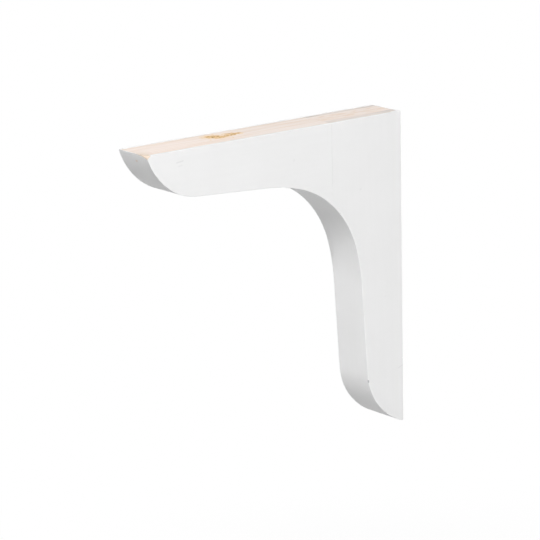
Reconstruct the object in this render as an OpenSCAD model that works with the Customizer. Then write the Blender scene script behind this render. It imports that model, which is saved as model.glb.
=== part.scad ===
// Wooden corbel bracket: an upright leg board with an arm board butted and glued against it,
// both sawn to one curved outline.
//
// Frame: the wall is the plane y = 0 and the bracket reaches out from it along -Y. The boards'
// thickness is centred on x = 0, +Z is up, and the origin is the centre of the wall face.
//
// The outline is drawn flat, with its outer corner at [0, 0], the wall edge running down -y and
// the top edge running out along +x. The leg's underside is the arm's, mirrored about the
// diagonal, so one set of curves serves both limbs and only their lengths differ.

/* [Overall] */
// Height of the wall edge
height = 203.2; // [170:0.2:300]
// Reach of the top edge out from the wall
reach = 196.8; // [160:0.2:300]
// Thickness of the boards
board_t = 28.6; // [12:0.2:60]

/* [Boards] */
// Width of the leg board, from the wall to the glue line
leg_w = 56; // [40:1:80]

/* [Crook] */
// Depth of wood from the outer corner to the crook, along the diagonal
crook_depth = 76.6; // [62:0.2:92]
// Radius of the tight arc in the middle of the crook
crook_r = 65; // [50:1:80]
// Angle that the tight arc spans
crook_sweep = 58; // [40:1:72]
// How much flatter the arcs are that lead from the crook into the limbs, added to its radius
lead_ease = 57; // [20:1:90]
// Angle at which each limb's underside closes on its outer edge towards the tip
limb_taper = 3.6; // [0:0.1:6]

/* [Tips] */
// Radius of the arc that turns the underside up into the tip
turn_r = 38; // [25:1:50]
// Angle that this arc spans
turn_sweep = 30; // [15:1:45]
// How much flatter the arc is that closes the tip, added to the turn's radius
tip_ease = 6.5; // [3:0.5:20]

/* [Hidden] */
$fn = 128;

// How far each curve laps past its neighbour, so that the two cross instead of only touching
lap = 0.005;
// Room around the outline for the shapes that trim it
clear = 10;
// Angle by which a trimming sector runs on past its arc
overrun = 20;

lead_r = crook_r + lead_ease;
tip_r = turn_r + tip_ease;

function dir(angle) = [cos(angle), sin(angle)];
function mirrored(p) = [-p.y, -p.x];

// The crook, from the diagonal to the arm: the direction in which each arc ends, the arcs' centres,
// and the point and direction in which the straight underside sets off
diagonal = 135;
lead_angle = diagonal - crook_sweep / 2;
under_angle = 90 + limb_taper;
crook_c = (crook_depth + crook_r) * -dir(diagonal);
lead_c = crook_c + (crook_r - lead_r - lap) * dir(lead_angle);
under_start = lead_c + (lead_r - lap) * dir(under_angle);
under_dir = dir(limb_taper);

// The tip, for an underside of length s: the turn's centre, then the closing arc's centre
turn_end = limb_taper - 90 + turn_sweep;
function turn_c(s) = under_start + s * under_dir + (turn_r - lap) * dir(under_angle);
function tip_c(s) = turn_c(s) + (turn_r - tip_r - lap) * dir(turn_end);

// The underside's length at which the closing arc meets the outer edge at the stated limb length
function underside(length) =
    let (
        w = [length, 0] - tip_c(0),
        along = w * under_dir,
        off = w.x * under_dir.y - w.y * under_dir.x
    )
    along - sqrt(tip_r * tip_r - off * off);

// The part of a disc that lies between two directions from its centre
module sector(centre, r, from, to) {
    translate(centre)
        intersection() {
            circle(r);
            polygon([[0, 0], 2 * r * dir(from), 2 * r * dir((from + to) / 2), 2 * r * dir(to)]);
        }
}

// One limb without the crook: the tapering strip, and the two arcs that close its tip
module limb(length) {
    s = underside(length);
    under_end = under_start + s * under_dir;
    under_root = under_start - under_start.x / under_dir.x * under_dir;
    tip_angle = asin(-tip_c(s).y / tip_r);
    intersection() {
        translate([0, -crook_depth])
            square([length + clear, crook_depth]);
        union() {
            polygon([[0, 0], under_root, under_end, turn_c(s) + [0, turn_r]]);
            translate(turn_c(s))
                circle(turn_r);
            sector(tip_c(s), tip_r, turn_end, tip_angle + overrun);
        }
    }
}

// The wood that fills the corner between the limbs, hollowed by the crook's arcs
module crook() {
    top = [under_start.x, 0];
    difference() {
        polygon([[0, 0], mirrored(top), mirrored(under_start), crook_c, under_start, top]);
        translate(crook_c)
            circle(crook_r);
        sector(lead_c, lead_r, under_angle - overrun, lead_angle);
        mirror([1, 1])
            sector(lead_c, lead_r, under_angle - overrun, lead_angle);
    }
}

module slab() {
    linear_extrude(board_t, center = true)
        children();
}

// The whole bracket, lying flat
module bracket() {
    slab()
        crook();
    slab()
        limb(reach);
    mirror([1, 1, 0])
        slab()
            limb(height);
}

// The boards stand in the Y-Z plane: each is the bracket between two distances from the wall
module board(from, to) {
    translate([0, 0, height / 2])
        rotate([90, 0, -90])
            intersection() {
                bracket();
                translate([from, -height - clear, -board_t / 2 - clear])
                    cube([to - from, height + 2 * clear, board_t + 2 * clear]);
            }
}

module leg() {
    color("white")
        board(-clear, leg_w);
}

module arm() {
    color("whitesmoke")
        board(leg_w, reach + clear);
}

leg();
arm();
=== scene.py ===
from math import asin, ceil, cos, degrees, radians, sin, sqrt

import bmesh
import bpy
from mathutils import Matrix, Vector


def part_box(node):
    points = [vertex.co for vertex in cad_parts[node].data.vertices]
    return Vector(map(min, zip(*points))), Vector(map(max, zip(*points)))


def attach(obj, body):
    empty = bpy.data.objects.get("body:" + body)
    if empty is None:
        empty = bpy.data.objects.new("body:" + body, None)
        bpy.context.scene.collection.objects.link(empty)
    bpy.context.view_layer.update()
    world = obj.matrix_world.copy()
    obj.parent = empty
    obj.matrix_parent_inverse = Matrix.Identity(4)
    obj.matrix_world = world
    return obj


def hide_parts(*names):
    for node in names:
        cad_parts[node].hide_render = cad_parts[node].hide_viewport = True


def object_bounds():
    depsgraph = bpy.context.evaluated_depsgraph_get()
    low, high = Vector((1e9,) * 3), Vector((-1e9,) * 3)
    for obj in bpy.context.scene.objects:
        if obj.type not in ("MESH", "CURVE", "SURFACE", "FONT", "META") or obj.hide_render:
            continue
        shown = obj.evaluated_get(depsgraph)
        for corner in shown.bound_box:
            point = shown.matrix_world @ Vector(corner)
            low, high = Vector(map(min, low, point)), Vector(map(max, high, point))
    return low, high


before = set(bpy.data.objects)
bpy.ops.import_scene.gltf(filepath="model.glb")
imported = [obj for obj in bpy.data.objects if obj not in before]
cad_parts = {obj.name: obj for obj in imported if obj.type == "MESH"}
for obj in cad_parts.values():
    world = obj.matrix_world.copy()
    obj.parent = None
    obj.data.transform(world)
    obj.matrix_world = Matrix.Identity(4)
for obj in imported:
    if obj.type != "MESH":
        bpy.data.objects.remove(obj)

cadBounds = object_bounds()
scene = bpy.context.scene
print("frame loaded:", sorted(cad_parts))

# The wall is the plane y = 0, the bracket reaches out along -Y and its boards are centred on x = 0
legLow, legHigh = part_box("leg")
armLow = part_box("arm")[0]
topZ = legHigh.z
footZ = legLow.z
noseY = armLow.y
glueY = legLow.y
sideX = legHigh.x


# camera

cameraSetup = {
    "lens": 195.54,
    "sensorWidth": 36,
    "place": (1.3948, -1.1755, 0.4642),
    "azimuth": 52.249,  # degrees round from straight in front of the wall
    "elevation": 14.373,
    "roll": -1.183,
}


def outwards(setup):
    # the direction in which something stands off the bracket, from its azimuth and elevation
    around, above = radians(setup["azimuth"]), radians(setup["elevation"])
    return Vector((sin(around) * cos(above), -cos(around) * cos(above), sin(above)))


def makeCamera(setup):
    bpy.ops.object.camera_add(location=(0, 0, 0))
    camera = bpy.context.object
    camera.name = "studioCamera"
    camera.data.lens = setup["lens"]
    camera.data.sensor_width = setup["sensorWidth"]
    back = outwards(setup)
    right = (-back).cross(Vector((0, 0, 1))).normalized()
    up = right.cross(-back)
    roll = radians(setup["roll"])
    across = cos(roll) * right + sin(roll) * up
    upright = cos(roll) * up - sin(roll) * right
    turned = Matrix((across, upright, back)).transposed().to_4x4()
    camera.matrix_world = Matrix.Translation(setup["place"]) @ turned
    scene.camera = camera


makeCamera(cameraSetup)
print("camera placed")


# modelling helpers

snug = 0.00002  # how near two places are that count as one
slack = 0.0001  # the same, for places on a curve
squarely = 0.98  # how nearly a face's normal runs along an axis that it faces
cutRoom = 1e-7  # how near a cut may pass to a corner without going through it


def near(value, target, room=snug):
    return abs(value - target) < room


def deselectEverything():
    if bpy.context.mode != "OBJECT":
        bpy.ops.object.mode_set(mode="OBJECT")
    bpy.ops.object.select_all(action="DESELECT")


def pickFaces(test):
    # selects the faces whose centre and normal pass the test
    bpy.ops.mesh.select_mode(type="FACE")
    bpy.ops.mesh.select_all(action="DESELECT")
    mesh = bmesh.from_edit_mesh(bpy.context.edit_object.data)
    for face in mesh.faces:
        if test(face.calc_center_median(), face.normal):
            face.select_set(True)
    mesh.select_flush_mode()
    bmesh.update_edit_mesh(bpy.context.edit_object.data)


def pickEdges(test):
    # selects the edges whose two ends pass the test
    bpy.ops.mesh.select_mode(type="EDGE")
    bpy.ops.mesh.select_all(action="DESELECT")
    mesh = bmesh.from_edit_mesh(bpy.context.edit_object.data)
    for edge in mesh.edges:
        if test(edge.verts[0].co, edge.verts[1].co):
            edge.select_set(True)
    mesh.select_flush_mode()
    bmesh.update_edit_mesh(bpy.context.edit_object.data)


def cutAcross(place, normal, **more):
    # cuts the whole mesh along a plane
    bpy.ops.mesh.select_all(action="SELECT")
    bpy.ops.mesh.bisect(plane_co=place, plane_no=normal, threshold=cutRoom, **more)


def applyModifier(piece, kind, name, **settings):
    modifier = piece.modifiers.new(name, kind)
    for key, value in settings.items():
        setattr(modifier, key, value)
    bpy.context.view_layer.objects.active = piece
    bpy.ops.object.modifier_apply(modifier=name)


# the sawn outline that both boards share

outlineSizes = {
    "crookDepth": 0.0766,  # wood from the outer corner to the crook, along the diagonal
    "crookRadius": 0.065,
    "crookSweep": 58,
    "leadRadius": 0.122,  # the flatter arcs that lead from the crook into the limbs
    "limbTaper": 3.6,
    "turnRadius": 0.038,  # the arc that turns each underside up into its tip
    "turnSweep": 30,
    "tipRadius": 0.0445,
    "arcStep": 0.0018,  # length of one straight step along an arc
}

diagonal = 135  # heading of the line from the outer corner to the crook


def direction(angle):
    return Vector((cos(radians(angle)), sin(radians(angle))))


def undersideStrokes(sizes, length):
    # the curve under a limb, from the crook's middle to the tip, as arcs and one straight run;
    # drawn flat, with the outer corner at (0, 0), the limb along +x and the wall edge down -y
    leadAngle = diagonal - sizes["crookSweep"] / 2
    underAngle = 90 + sizes["limbTaper"]
    crook = -(sizes["crookDepth"] + sizes["crookRadius"]) * direction(diagonal)
    lead = crook + (sizes["crookRadius"] - sizes["leadRadius"]) * direction(leadAngle)
    start = lead + sizes["leadRadius"] * direction(underAngle)
    run = direction(sizes["limbTaper"])
    turnEnd = sizes["limbTaper"] - 90 + sizes["turnSweep"]
    turn = start + sizes["turnRadius"] * direction(underAngle)
    tip = turn + (sizes["turnRadius"] - sizes["tipRadius"]) * direction(turnEnd)
    short = Vector((length, 0)) - tip
    along = short.dot(run) - sqrt(sizes["tipRadius"] ** 2 - (short.x * run.y - short.y * run.x) ** 2)
    turn += along * run
    tip += along * run
    tipEnd = degrees(asin(-tip.y / sizes["tipRadius"]))
    return [
        ("arc", crook, diagonal, leadAngle),
        ("arc", lead, leadAngle, underAngle),
        ("line", start + along * run),
        ("arc", turn, sizes["limbTaper"] - 90, turnEnd),
        ("arc", tip, turnEnd, tipEnd),
    ]


def mirrorStroke(stroke):
    # the leg's curve is the arm's, mirrored about the diagonal
    kind, point, *angles = stroke
    return (kind, Vector((-point.y, -point.x)), *(2 * diagonal - angle for angle in angles))


def drawOutline(name, start, strokes, arcStep):
    # one vertex, extruded along the lines and spun along the arcs, then filled and given its thickness;
    # a line is told by its end, and an arc by its centre and the headings of its two ends from there
    deselectEverything()
    bpy.ops.mesh.primitive_plane_add(size=snug, location=(-sideX, -start.x, topZ + start.y))
    piece = bpy.context.object
    piece.name = name
    bpy.ops.object.transform_apply(location=True, rotation=True, scale=True)
    bpy.ops.object.mode_set(mode="EDIT")
    bpy.ops.mesh.select_mode(type="VERT")
    bpy.ops.mesh.select_all(action="SELECT")
    bpy.ops.mesh.merge(type="CENTER")
    here = start
    for kind, point, *angles in strokes:
        if kind == "line":
            step = point - here
            bpy.ops.mesh.extrude_region_move(TRANSFORM_OT_translate={"value": (0, -step.x, step.y)})
            here = point
        else:
            turned = radians(angles[0] - angles[1])
            radius = (here - point).length
            bpy.ops.mesh.spin(
                steps=max(1, ceil(abs(turned) * radius / arcStep)),
                angle=-turned,
                center=(-sideX, -point.x, topZ + point.y),
                axis=(1, 0, 0),
            )
            here = point + radius * direction(angles[1])
    bpy.ops.mesh.select_all(action="SELECT")
    bpy.ops.mesh.remove_doubles(threshold=snug)
    bpy.ops.mesh.edge_face_add()
    bpy.ops.mesh.extrude_region_move(TRANSFORM_OT_translate={"value": (2 * sideX, 0, 0)})
    bpy.ops.mesh.select_all(action="SELECT")
    bpy.ops.mesh.normals_make_consistent(inside=False)
    return piece


boardFinish = {
    "easing": 0.0016,  # the rounding of the foot's corner, which the other edges have a share of
    "easingSteps": 3,
    "sawnShare": 0.14,
    "topShare": 0.16,
    "wallShare": 0.18,
    "wornShare": 0.3,
    "grooveShare": 0.09,  # the glue line's groove
    "grooveLength": 0.015,
    "paintEdge": 0.0018,  # how far the paint laps over the top
    "paintStep": 0.00015,  # the width in which it drops to the bare wood
    "paintDepth": 0.00012,
    "cell": 0.004,
    "firstCells": (0.5, 0.9),  # the share of a cell before the first cut, from the wall and the top
    "lengthwiseCuts": (-0.008, -0.0027, 0.0027, 0.008),
    "unevenness": 0.00016,
    "unevennessSize": 0.045,
    "smoothAngle": 35,
}


def weighEdges(test, share):
    pickEdges(test)
    bpy.ops.transform.edge_bevelweight(value=share)


def easeWeighed(piece, finish):
    # rounds the edges by their share, then takes the shares off again
    deselectEverything()
    applyModifier(
        piece, "BEVEL", "easing", width=finish["easing"], segments=finish["easingSteps"],
        limit_method="WEIGHT", use_clamp_overlap=False,
    )
    bpy.ops.object.mode_set(mode="EDIT")
    weighEdges(lambda p, q: True, -1)


def easeEdges(piece, finish, corner):
    # every edge along the outline is rounded, less at the top and the wall, and not at the glue line;
    # the foot's corner comes first, so that the edges beside it follow its rounding
    grooveEnd = topZ - finish["grooveLength"]
    pickFaces(lambda centre, normal: near(centre.y, glueY) and abs(normal.y) > squarely)
    bpy.ops.mesh.bisect(plane_co=(0, 0, grooveEnd), plane_no=(0, 0, 1))

    def alongside(p, q):
        return near(abs(p.x), sideX) and near(p.x, q.x)

    def onTop(p, q):
        return near(p.z, topZ) and near(q.z, topZ)

    def onWall(p, q):
        return near(p.y, 0) and near(q.y, 0)

    def onGlue(p, q):
        return near(p.y, glueY) and near(q.y, glueY)

    def sawn(p, q):
        return alongside(p, q) and not onTop(p, q) and not onWall(p, q) and not onGlue(p, q)

    def inGroove(p, q):
        return alongside(p, q) and onGlue(p, q) and min(p.z, q.z) > grooveEnd - slack

    def acrossFoot(p, q):
        return near(p.x, -q.x) and onWall(p, q) and near(p.z, footZ, slack)

    def acrossEnds(p, q):
        wallTop = onWall(p, q) and near(p.z, topZ)
        noseTop = near(p.y, noseY, slack) and near(q.y, noseY, slack)
        return not near(p.x, q.x) and (wallTop or noseTop) and onTop(p, q)

    def worn(p, q):
        return all(near((end - corner["place"]).dot(corner["normal"]), 0) for end in (p, q))

    weighEdges(acrossFoot, 1)
    easeWeighed(piece, finish)
    weighEdges(sawn, finish["sawnShare"])
    weighEdges(lambda p, q: alongside(p, q) and onTop(p, q), finish["topShare"])
    weighEdges(lambda p, q: alongside(p, q) and onWall(p, q), finish["wallShare"])
    weighEdges(inGroove, finish["grooveShare"])
    weighEdges(acrossEnds, finish["topShare"])
    if corner:
        weighEdges(worn, finish["wornShare"])
    easeWeighed(piece, finish)


def gridBoard(finish):
    # an even grid over every face, so that the unevenness has something to move
    cell = finish["cell"]
    fromWall, fromTop = finish["firstCells"]
    for step in range(ceil(-noseY / cell)):
        cutAcross((0, -(step + fromWall) * cell, 0), (0, 1, 0))
    for step in range(ceil((topZ - footZ) / cell)):
        cutAcross((0, 0, topZ - (step + fromTop) * cell), (0, 0, 1))
    for across in finish["lengthwiseCuts"]:
        cutAcross((across, 0, 0), (1, 0, 0))
    bpy.ops.mesh.select_all(action="SELECT")
    bpy.ops.mesh.dissolve_degenerate(threshold=snug)
    bpy.ops.mesh.remove_doubles(threshold=snug)


def sinkTop(finish):
    # the bare top lies a paint film's thickness below the paint that laps over its edges
    paintEnd = sideX - finish["paintEdge"]
    woodStart = paintEnd - finish["paintStep"]
    for across in (paintEnd, woodStart):
        cutAcross((across, 0, 0), (1, 0, 0))
        cutAcross((-across, 0, 0), (1, 0, 0))

    def bareTop(centre, normal):
        return normal.z > squarely and near(centre.z, topZ, slack) and abs(centre.x) < woodStart

    pickFaces(bareTop)
    bpy.ops.transform.translate(value=(0, 0, -finish["paintDepth"]))


def roughenBoard(piece, finish):
    # hand sanding leaves the faces a little uneven
    clouds = bpy.data.textures.new("handSanding", "CLOUDS")
    clouds.cloud_type = "COLOR"
    clouds.noise_scale = finish["unevennessSize"]
    clouds.noise_depth = 1
    applyModifier(
        piece, "DISPLACE", "sanding", texture=clouds, texture_coords="LOCAL",
        direction="RGB_TO_XYZ", strength=finish["unevenness"], mid_level=0.5,
    )
    bpy.context.view_layer.objects.active = piece
    piece.select_set(True)
    bpy.ops.object.shade_smooth_by_angle(angle=radians(finish["smoothAngle"]))
    applyModifier(piece, "WEIGHTED_NORMAL", "flatness", keep_sharp=True)


# places where the edges are knocked, with the size of each knock
chips = {
    "leg": [
        ((0.0143, -0.0502, 0.0431), (0.0007, 0.0008, 0.0008)),
        ((0.0143, -0.0290, -0.0700), (0.0004, 0.0005, 0.0009)),
        ((0.0145, 0.0002, -0.0597), (0.0006, 0.0009, 0.0016)),
        ((-0.0145, -0.0265, -0.0380), (0.0006, 0.0008, 0.0016)),
        ((-0.0145, 0.0002, 0.0300), (0.0006, 0.0007, 0.0014)),
    ],
    "arm": [
        ((-0.0145, -0.1300, 0.0640), (0.0005, 0.0014, 0.0008)),
        ((-0.0145, -0.1050, 0.0640), (0.0004, 0.0007, 0.0005)),
    ],
}


def chipBoard(piece, places):
    for index, (place, size) in enumerate(places):
        deselectEverything()
        bpy.ops.mesh.primitive_ico_sphere_add(subdivisions=2, radius=1, location=place, scale=size)
        chip = bpy.context.object
        chip.rotation_euler = (0.4 + index, 0.3 * index, 0.7 + 0.9 * index)  # each turned its own way
        bpy.ops.object.transform_apply(location=True, rotation=True, scale=True)
        applyModifier(piece, "BOOLEAN", "knock", object=chip, operation="DIFFERENCE", solver="EXACT")
        bpy.data.objects.remove(chip)


# the nose's near corner is worn away beyond a plane
wornCorner = {
    "place": Vector((0.0143, -0.1943, 0.1016)),
    "normal": Vector((0.284, -0.660, 0.696)).normalized(),
}


def makeBoard(name, node, start, strokes, corner=None):
    piece = drawOutline(name, start, strokes, outlineSizes["arcStep"])
    if corner:
        cutAcross(corner["place"], corner["normal"], use_fill=True, clear_outer=True)
    easeEdges(piece, boardFinish, corner)
    gridBoard(boardFinish)
    sinkTop(boardFinish)
    deselectEverything()
    chipBoard(piece, chips[node])
    roughenBoard(piece, boardFinish)
    print(name, "made:", len(piece.data.polygons), "faces")
    return piece


armStrokes = undersideStrokes(outlineSizes, -noseY)
legStrokes = [mirrorStroke(stroke) for stroke in undersideStrokes(outlineSizes, topZ - footZ)]

# the glue line crosses the arc in the middle of the crook, and each board has its own side of it
crookCentre = armStrokes[0][1]
glueX = -glueY
glueAngle = 90 + degrees(asin((crookCentre.x - glueX) / outlineSizes["crookRadius"]))
gluePoint = crookCentre + outlineSizes["crookRadius"] * direction(glueAngle)
armStrokes[0] = ("arc", crookCentre, glueAngle, armStrokes[0][3])
legStrokes[0] = ("arc", crookCentre, glueAngle, legStrokes[0][3])

armBoard = makeBoard(
    "armBoard", "arm", Vector((glueX, 0)),
    [("line", gluePoint), *armStrokes, ("line", Vector((glueX, 0)))],
    wornCorner,
)
legBoard = makeBoard(
    "legBoard", "leg", Vector((0, 0)),
    [("line", Vector((glueX, 0))), ("line", gluePoint), *legStrokes, ("line", Vector((0, 0)))],
)


def fitToFrame(pieces):
    # the sanding moves the faces a little, so both boards are brought back to the frame's box
    low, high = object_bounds()
    size = [(cadBounds[1][axis] - cadBounds[0][axis]) / (high[axis] - low[axis]) for axis in range(3)]
    for piece in pieces:
        deselectEverything()
        piece.select_set(True)
        bpy.context.view_layer.objects.active = piece
        piece.scale = size
        piece.location = [cadBounds[0][axis] - low[axis] * size[axis] for axis in range(3)]
        bpy.ops.object.transform_apply(location=True, rotation=True, scale=True)


boards = {"arm": armBoard, "leg": legBoard}
for node, piece in boards.items():
    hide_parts(node)
fitToFrame(boards.values())
for piece in boards.values():
    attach(piece, "root")
print("boards fitted to the frame")


# materials

class Wire:
    # a socket of a shader's node tree that can be used in sums
    def __init__(self, tree, socket=None):
        self.tree = tree
        self.socket = socket

    def node(self, kind, settings, sockets, output=0):
        made = self.tree.nodes.new(kind)
        for key, value in settings.items():
            setattr(made, key, value)
        for key, value in sockets.items():
            if isinstance(value, Wire):
                self.tree.links.new(value.socket, made.inputs[key])
            else:
                made.inputs[key].default_value = value
        return Wire(self.tree, made.outputs[output])

    def maths(self, operation, *values):
        return self.node("ShaderNodeMath", {"operation": operation}, dict(enumerate(values)))

    def __add__(self, other):
        return self.maths("ADD", self, other)

    def __sub__(self, other):
        return self.maths("SUBTRACT", self, other)

    def __rsub__(self, other):
        return self.maths("SUBTRACT", other, self)

    def __mul__(self, other):
        return self.maths("MULTIPLY", self, other)

    def __truediv__(self, other):
        return self.maths("DIVIDE", self, other)

    def __pow__(self, other):
        return self.maths("POWER", self, other)

    def __neg__(self):
        return self.maths("SUBTRACT", 0, self)

    def __abs__(self):
        return self.maths("ABSOLUTE", self)

    __radd__ = __add__
    __rmul__ = __mul__

    def most(self, other):
        return self.maths("MAXIMUM", self, other)

    def least(self, other):
        return self.maths("MINIMUM", self, other)

    def fraction(self):
        return self.maths("FRACT", self)

    def fade(self, low, high):
        # 0 at low, 1 at high and smooth between; low may be the larger
        if low > high:
            return 1 - self.fade(high, low)
        return self.node(
            "ShaderNodeMapRange", {"interpolation_type": "SMOOTHSTEP"},
            {"Value": self, "From Min": low, "From Max": high},
        )

    def blend(self, first, second):
        # mixes two colours, with this wire as the factor; the node's sockets share their names, so
        # they are told apart by number
        return self.node("ShaderNodeMix", {"data_type": "RGBA"}, {0: self, 6: first, 7: second}, 2)

    def between(self, first, second):
        # mixes two numbers, with this wire as the factor
        return self * (second - first) + first


def colour(red, green, blue):
    return (red, green, blue, 1)


perMetre = 1000  # the patterns are laid out in millimetres


class Place:
    # the point being shaded, and the patterns laid over it
    def __init__(self, tree):
        self.wire = Wire(tree)
        point = self.wire.node("ShaderNodeTexCoord", {}, {}, "Object")
        self.point = self.scaled(point, [perMetre] * 3)
        self.x, self.y, self.z = (
            self.wire.node("ShaderNodeSeparateXYZ", {}, {"Vector": self.point}, axis) for axis in "XYZ"
        )

    def scaled(self, vector, factors):
        settings = {"operation": "MULTIPLY"}
        return self.wire.node("ShaderNodeVectorMath", settings, {0: vector, 1: factors})

    def noise(self, sizes, detail=2, roughness=0.5, distortion=0):
        # soft noise whose blobs are about sizes millimetres long on each axis
        return self.wire.node(
            "ShaderNodeTexNoise", {},
            {
                "Vector": self.scaled(self.point, [1 / size for size in sizes]), "Scale": 1,
                "Detail": detail, "Roughness": roughness, "Distortion": distortion,
            },
        )

    def strokeGap(self, start, end, width, plane="yz"):
        # squared distance from a straight stroke in a plane of two axes, as a share of its width
        first, second = (getattr(self, axis) for axis in plane)
        run = Vector(end) - Vector(start)
        length = run.length
        run = run / length if length else Vector((1, 0))
        along = (first - start[0]) * run.x + (second - start[1]) * run.y
        off = (second - start[1]) * run.x - (first - start[0]) * run.y
        past = (-along).most(along - length).most(0)
        return (off * off + past * past) / width ** 2


paintLook = {
    "white": colour(0.856, 0.856, 0.856),
    "shade": colour(0.838, 0.838, 0.836),
    # grey of the scuffs, and of the painted shade on the paint's edge along the top
    "mark": colour(0.30, 0.30, 0.31),
    "speck": ((1.0, 96.4), (2.0, 96.7), 0.8),  # a brown speck on the nose, from one (x, z) to another
    "speckShare": 0.5,
    "smudgeShare": 0.08,  # on the wall face
    "rubShare": 0.08,  # on the far side
    "rimShadeShare": 0.05,  # painted shade along the top, where the paint ends, so that its rounded edge shows no bright line
    "glueLineShare": 0.06,
    "grainLineShare": 0.02,  # a fainter line beside the glue line
    "grainLinePlace": 3.6,
    "roughness": 0.32,
    "roughnessSpread": 0.08,
}

# small scuffs, specks and scratches on the near face: start and end (y, z), width, strength
scuffs = {
    "arm": [
        ((-175.0, 94.3), (-170.2, 94.9), 0.55, 0.15), ((-173.4, 91.9), (-171.2, 92.3), 0.7, 0.07),
        ((-86.2, 82.3), (-85.8, 82.7), 1.0, 0.07),
    ],
    "leg": [
        ((-33.7, 56.2), (-33.3, 56.4), 0.9, 0.07), ((-4.0, -66.0), (0, -64.4), 0.4, 0.13),
        ((-14.2, -16.7), (-14.0, -16.5), 0.7, 0.05), ((-28.9, -70.6), (-28.9, -69.8), 0.75, 0.6),
        ((-0.4, -61.0), (-0.3, -58.8), 0.5, 0.15),
    ],
}

pineLook = {
    "early": colour(0.880, 0.797, 0.747),
    "pale": colour(0.914, 0.812, 0.752),
    "late": colour(0.78, 0.60, 0.46),
    "fibre": colour(0.68, 0.57, 0.50),
    # worn wood's colour, which on the worn corner's facet also serves as painted shade
    "worn": colour(0.70, 0.58, 0.47),
    "dirt": colour(0.45, 0.43, 0.42),
    "ringHeart": {"arm": (-34, 60), "leg": (-52, -20)},  # (x, z) in the arm, (x, y) in the leg
    "ringWidth": 2.6,
    "ringWaver": 3,
    "fibreSizes": {"arm": (0.5, 16, 0.5), "leg": (0.7, 1.6, 14)},
    "streakSizes": {"arm": (3.2, 70, 3.2), "leg": (3.4, 22, 60)},
    "ringShare": 0.34,
    "streakShare": 0.34,
    "fibreShare": 0.2,
    "goldenShare": 0.42,  # the golden streaks down the middle of the leg's top
    "wearAndShadeShares": (0.5, 0.9),  # at the nose, and on its worn corner, where it is also painted shade against the main lamp's extra light on that facet
    "roughness": 0.8,
    "halo": colour(0.88, 0.66, 0.42),
    "stain": colour(0.80, 0.54, 0.27),
    "stainDark": colour(0.36, 0.20, 0.07),
    "haloShare": 0.6,
    "stainShare": 0.9,
    "stainDarkShare": 0.8,
    "stainWobble": 4.4,  # how much the stain's outline wavers
}

# the resin stain on top of the arm: strokes from one (x, y) to another, with their widths
stainStrokes = [
    ((-4.6, -135.2), (-3.8, -133.0), 4.4), ((-3.0, -133.4), (-1.2, -130.6), 4.1),
    ((-0.8, -130.4), (-1.0, -126.2), 2.3), ((-1.0, -126.0), (-1.2, -121.2), 1.9),
    ((-1.6, -120.8), (-2.2, -118.6), 1.4), ((-5.2, -123.0), (-5.0, -122.2), 1.6),
    ((-4.4, -119.6), (-4.2, -119.0), 1.6), ((-3.2, -117.2), (-2.6, -116.2), 1.9),
]

# where the paint gives way to bare wood, in millimetres
bareLook = {
    "paintTop": 0.45,  # how far below the top the paint ends
    "rubbedTop": 0.4,  # how much lower it ends where the nose is rubbed
    "ragged": 1.2,  # how ragged the paint's edge is along the top
    "endLap": 2.3,  # how much further the paint laps over the near edge at the wall
}

relief = {"Strength": 0.5, "Distance": 0.001}  # of the fibres, the paint's stipple and the marks


def grainSizes(node, across, along):
    # a pattern drawn out along the grain, which runs outwards in the arm and upwards in the leg
    return (across, along, across) if node == "arm" else (across, across, along)


def paintColour(place, node, below):
    # satin white, faintly uneven, with the grain showing through as long soft streaks
    cloudy = place.noise((30, 30, 30), 3)
    streaks = place.noise(grainSizes(node, 2.5, 60), 2)
    tone = cloudy.fade(0.3, 0.7) * 0.6 + streaks.fade(0.35, 0.75) * 0.4
    paint = tone.blend(paintLook["white"], paintLook["shade"])
    marksAndRimShade = None
    for start, end, width, strength in scuffs[node]:
        mark = place.strokeGap(start, end, width).fade(1, 0.1) * strength
        marksAndRimShade = mark if marksAndRimShade is None else marksAndRimShade.most(mark)
    marksAndRimShade = marksAndRimShade * place.x.fade(13.2, 13.8)
    smudges = place.noise((10, 7, 26), 3).fade(0.48, 0.7) * place.y.fade(-0.5, -0.2)
    rubs = place.noise((3, 11, 3), 3).fade(0.66, 0.74) * place.x.fade(-13.6, -14)
    # painted shade on the paint's edge along the top, so that its rounded edge doesn't light up as a
    # bright line
    rimShade = (below - 0.5).fade(0.3, -0.1) * abs(place.x).fade(12.1, 12.7)
    # smudges and rubs are real wear; the top edge's grey is painted shade
    for wearAndShade, share in ((smudges, "smudgeShare"), (rubs, "rubShare"), (rimShade, "rimShadeShare")):
        marksAndRimShade = marksAndRimShade.most(wearAndShade * paintLook[share])
    joint = place.y - glueY * perMetre
    line = abs(joint).fade(0.45, 0.1) * below.fade(16, 6) * paintLook["glueLineShare"]
    beside = abs(joint + paintLook["grainLinePlace"]).fade(0.5, 0.1) * below.fade(18, 8)
    line = line.most(beside * paintLook["grainLineShare"])
    paint = marksAndRimShade.most(line).blend(paint, paintLook["mark"])
    if node == "arm":
        speck = place.strokeGap(*paintLook["speck"], "xz").fade(1, 0.2) * place.y.fade(-190, -194)
        paint = (speck * paintLook["speckShare"]).blend(paint, pineLook["late"])
    return paint, marksAndRimShade, cloudy


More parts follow.
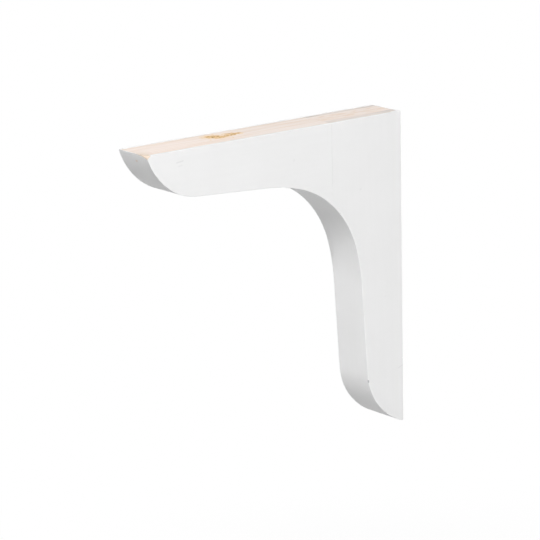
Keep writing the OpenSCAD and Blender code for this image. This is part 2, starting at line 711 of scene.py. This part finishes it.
def pineColour(place, node):
    # growth rings round a heart beside the board, fibres along it, and broad streaks
    waver = place.noise(grainSizes(node, 9, 120), 2)
    fibre = place.noise(pineLook["fibreSizes"][node], 3, 0.6)
    streak = place.noise(pineLook["streakSizes"][node], 3, 0.6)
    heart = pineLook["ringHeart"][node]
    offX = place.x - heart[0]
    offAcross = (place.z if node == "arm" else place.y) - heart[1]
    radius = (offX * offX + offAcross * offAcross) ** 0.5 + waver * pineLook["ringWaver"]
    radius = radius / pineLook["ringWidth"]
    ring = radius.fraction()
    late = ring.fade(0.35, 0.95) * ring.fade(1, 0.96)
    paling = place.y.fade(-105, -140) * 0.8 + streak.fade(0.6, 0.3) * 0.2
    wood = paling.blend(pineLook["early"], pineLook["pale"])
    grown = late * pineLook["ringShare"] * fibre.fade(0.2, 0.7)
    grown = grown + streak.fade(0.5, 0.64) * pineLook["streakShare"]
    wood = grown.blend(wood, pineLook["late"])
    wood = (fibre.fade(0.6, 0.8) * pineLook["fibreShare"]).blend(wood, pineLook["fibre"])
    return wood, fibre


def armTop(place, wood, cornerDepth):
    # the resin stain, the grey far edge and the worn, darkened wood at the nose; the worn corner's
    # facet gets the same darker wood, which there is partly painted shade against the main lamp's extra
    # light
    x, y = place.x, place.y
    wobble = place.noise((1.9, 2.4, 1.9), 3)
    gap = place.strokeGap(*stainStrokes[0], "xy")
    for stroke in stainStrokes[1:]:
        gap = gap.least(place.strokeGap(*stroke, "xy"))
    gap = gap * (wobble * pineLook["stainWobble"] - 1)
    wood = (gap.fade(4, 0.8) * pineLook["haloShare"]).blend(wood, pineLook["halo"])
    wood = (gap.fade(1.3, 0.6) * pineLook["stainShare"]).blend(wood, pineLook["stain"])
    core = gap.fade(0.9, 0.3) * place.noise((1.5, 1.5, 1.5), 2).fade(0.48, 0.58)
    wood = (core * pineLook["stainDarkShare"]).blend(wood, pineLook["stainDark"])
    dirt = place.noise((4, 9, 4), 3)
    edge = (-x).fade(10.2, 11.9) * (dirt * 0.4 + y.fade(-62, -57) * 0.2)
    edge = edge.most(x.fade(9.7, 11.5) * dirt.fade(0.42, 0.62) * 0.26)
    wood = edge.blend(wood, pineLook["dirt"])
    noseShare, cornerWearAndShade = pineLook["wearAndShadeShares"]
    wood = (y.fade(-186, -196) * x.fade(-10, 10) * noseShare).blend(wood, pineLook["worn"])
    # the worn corner's facet faces the main lamp: its darker wood is partly real wear and partly
    # painted shade
    return (cornerDepth.fade(-2.5, -0.3) * cornerWearAndShade).blend(wood, pineLook["worn"])


def legTop(place, wood, lap):
    # end grain is a little darker, and has soaked up dirt along both edges
    x, y = place.x, place.y
    dirt = place.noise((3, 14, 3), 3)
    streaks = place.noise((1.3, 26, 1.3), 3, 0.6).fade(0.35, 0.65)
    soaked = streaks * 0.32 + 0.1 + y.fade(-20, -6) * 0.2
    nearEdge = (x + lap + (dirt - 0.5) * 5).fade(4.6, 8.6) * soaked
    nearEdge = nearEdge * (abs(x + lap - 12).fade(0, 2) * 0.4 + 0.6).most(y.fade(-44, -54))
    soaked = streaks * 0.2 + 0.27 + y.fade(-42, -54) * 0.2 + y.fade(-20, -8) * 0.16
    farEdge = ((dirt - 0.5) * 2 - x).fade(8.8, 11) * soaked
    wood = nearEdge.most(farEdge).blend(wood, pineLook["dirt"])
    golden = place.noise((2.6, 9, 2.6), 2).fade(0.46, 0.6) * abs(x + 2).fade(8, 4)
    return (golden * pineLook["goldenShare"]).blend(wood, pineLook["late"])


def boardMaterial(name, node):
    material = bpy.data.materials.new(name)
    material.use_nodes = True
    tree = material.node_tree
    shader = tree.nodes["Principled BSDF"]
    place = Place(tree)
    x, y, z = place.x, place.y, place.z
    below = topZ * perMetre - z
    ragged = place.noise((3, 5, 3), 3) - 0.5

    # where the wood is bare: the top, inside the paint that laps over its edges, and the worn corner
    fromNose = y - noseY * perMetre
    rubbed = fromNose.fade(2.5, 0.6) * x.fade(-2, 12)
    bare = below - bareLook["paintTop"] - rubbed * bareLook["rubbedTop"] + ragged * 0.12
    bare = bare.fade(0.06, -0.06) * fromNose.fade(0.25, 0.45).most(rubbed)
    lap = y.fade(-11, -1) * x.fade(2, 12) * bareLook["endLap"]
    lapEnd = (sideX - boardFinish["paintEdge"]) * perMetre
    across = (abs(x) + lap + ragged * bareLook["ragged"]).fade(lapEnd + 0.2, lapEnd - 0.2)
    bare = bare * y.fade(-0.25, -0.45) * across
    wood, fibre = pineColour(place, node)
    if node == "arm":
        corner, normal = wornCorner["place"] * perMetre, wornCorner["normal"]
        depth = (x - corner.x) * normal.x + (y - corner.y) * normal.y + (z - corner.z) * normal.z
        bare = bare.most((depth + ragged * 0.4).fade(-0.6, -0.4))
        wood = armTop(place, wood, depth)
    else:
        wood = legTop(place, wood, lap)
    paint, marksAndRimShade, cloudy = paintColour(place, node, below)

    tree.links.new(bare.blend(paint, wood).socket, shader.inputs["Base Color"])
    spread = paintLook["roughnessSpread"]
    satin = cloudy * spread + (paintLook["roughness"] - spread / 2)
    tree.links.new(bare.between(satin, pineLook["roughness"]).socket, shader.inputs["Roughness"])
    grain = place.noise(grainSizes(node, 2.2, 45), 2)
    stipple = place.noise((1.1, 1.1, 1.1), 2) * 0.02 + grain * 0.03
    height = bare.between(stipple - marksAndRimShade * 0.06, fibre * 0.05)
    bump = place.wire.node("ShaderNodeBump", {}, {**relief, "Height": height})
    tree.links.new(bump.socket, shader.inputs["Normal"])
    return material


for node, piece in boards.items():
    piece.data.materials.clear()
    piece.data.materials.append(boardMaterial("paintedPine" + node.capitalize(), node))
print("materials made")


# floor, lamps and world

studio = {
    "floorZ": -0.38,
    "floorSize": 14,
    "floorColour": colour(0.68, 0.68, 0.68),
    "floorLift": 0.52,  # what camera rays see on top of the floor's own light
    "whiteFrom": (0.25, 0.7),  # how far from its middle the floor fades into the white background
    "ambient": 0.1,
    "lampDistance": 3,
}


def makeFloor(setup):
    # camera rays see it as white, fading into the background, with the bracket's soft shadow on it;
    # from underneath it can't be seen
    deselectEverything()
    bpy.ops.mesh.primitive_plane_add(size=setup["floorSize"], location=(0, 0, setup["floorZ"]))
    floor = bpy.context.object
    floor.name = "studioFloor"
    material = bpy.data.materials.new("studioFloor")
    material.use_nodes = True
    tree = material.node_tree
    tree.nodes.clear()
    wire = Wire(tree)
    seen = wire.node("ShaderNodeLightPath", {}, {}, "Is Camera Ray")
    back = wire.node("ShaderNodeNewGeometry", {}, {}, "Backfacing")
    spot = wire.node("ShaderNodeTexCoord", {}, {}, "Object")
    away = wire.node("ShaderNodeVectorMath", {"operation": "LENGTH"}, {0: spot}, "Value")
    matt = wire.node("ShaderNodeBsdfDiffuse", {}, {"Color": setup["floorColour"]})
    glow = {"Color": colour(1, 1, 1), "Strength": seen * setup["floorLift"]}
    lift = wire.node("ShaderNodeEmission", {}, glow)
    lit = wire.node("ShaderNodeAddShader", {}, {0: matt, 1: lift})
    white = wire.node("ShaderNodeEmission", {}, {"Color": colour(1, 1, 1), "Strength": 1})
    far = seen * away.fade(*setup["whiteFrom"])
    faded = wire.node("ShaderNodeMixShader", {}, {0: far, 1: lit, 2: white})
    clear = wire.node("ShaderNodeBsdfTransparent", {}, {})
    shown = wire.node("ShaderNodeMixShader", {}, {0: back, 1: faded, 2: clear})
    output = tree.nodes.new("ShaderNodeOutputMaterial")
    tree.links.new(shown.socket, output.inputs["Surface"])
    floor.data.materials.append(material)


# each lamp stands at an azimuth and elevation round the bracket, in degrees, and points at it
lamps = {
    "mainLamp": {"azimuth": 47, "elevation": 45, "power": 107, "size": 1.2, "spread": 180},
    "sideLamp": {"azimuth": 85, "elevation": 20, "power": 0.38, "size": 1.2, "spread": 40},
    "leftLamp": {"azimuth": 270, "elevation": 0, "power": 2.4, "size": 0.7, "spread": 40},
    "backLamp": {"azimuth": 180, "elevation": 0, "power": 2.4, "size": 0.7, "spread": 40},
}


def makeLamp(name, setup):
    back = outwards(setup)
    middle = Vector((0, noseY / 2, 0))
    bpy.ops.object.light_add(type="AREA", location=middle + studio["lampDistance"] * back)
    lamp = bpy.context.object
    lamp.name = name
    lamp.rotation_euler = back.to_track_quat("Z", "Y").to_euler()
    lamp.data.shape = "SQUARE"
    lamp.data.size = setup["size"]
    lamp.data.spread = radians(setup["spread"])
    lamp.data.energy = setup["power"]


def makeWorld(setup):
    world = bpy.data.worlds.new("studio")
    scene.world = world
    world.use_nodes = True
    tree = world.node_tree
    tree.nodes.clear()
    wire = Wire(tree)
    camera, glossy, through = (
        wire.node("ShaderNodeLightPath", {}, {}, f"Is {ray} Ray")
        for ray in ("Camera", "Glossy", "Transmission")
    )
    strength = camera.most(glossy).most(through) * (1 - setup["ambient"]) + setup["ambient"]
    glow = wire.node("ShaderNodeBackground", {}, {"Color": colour(1, 1, 1), "Strength": strength})
    output = tree.nodes.new("ShaderNodeOutputWorld")
    tree.links.new(glow.socket, output.inputs["Surface"])


makeFloor(studio)
for name, setup in lamps.items():
    makeLamp(name, setup)
makeWorld(studio)
deselectEverything()
scene.view_settings.view_transform = "Standard"
print("studio lit")
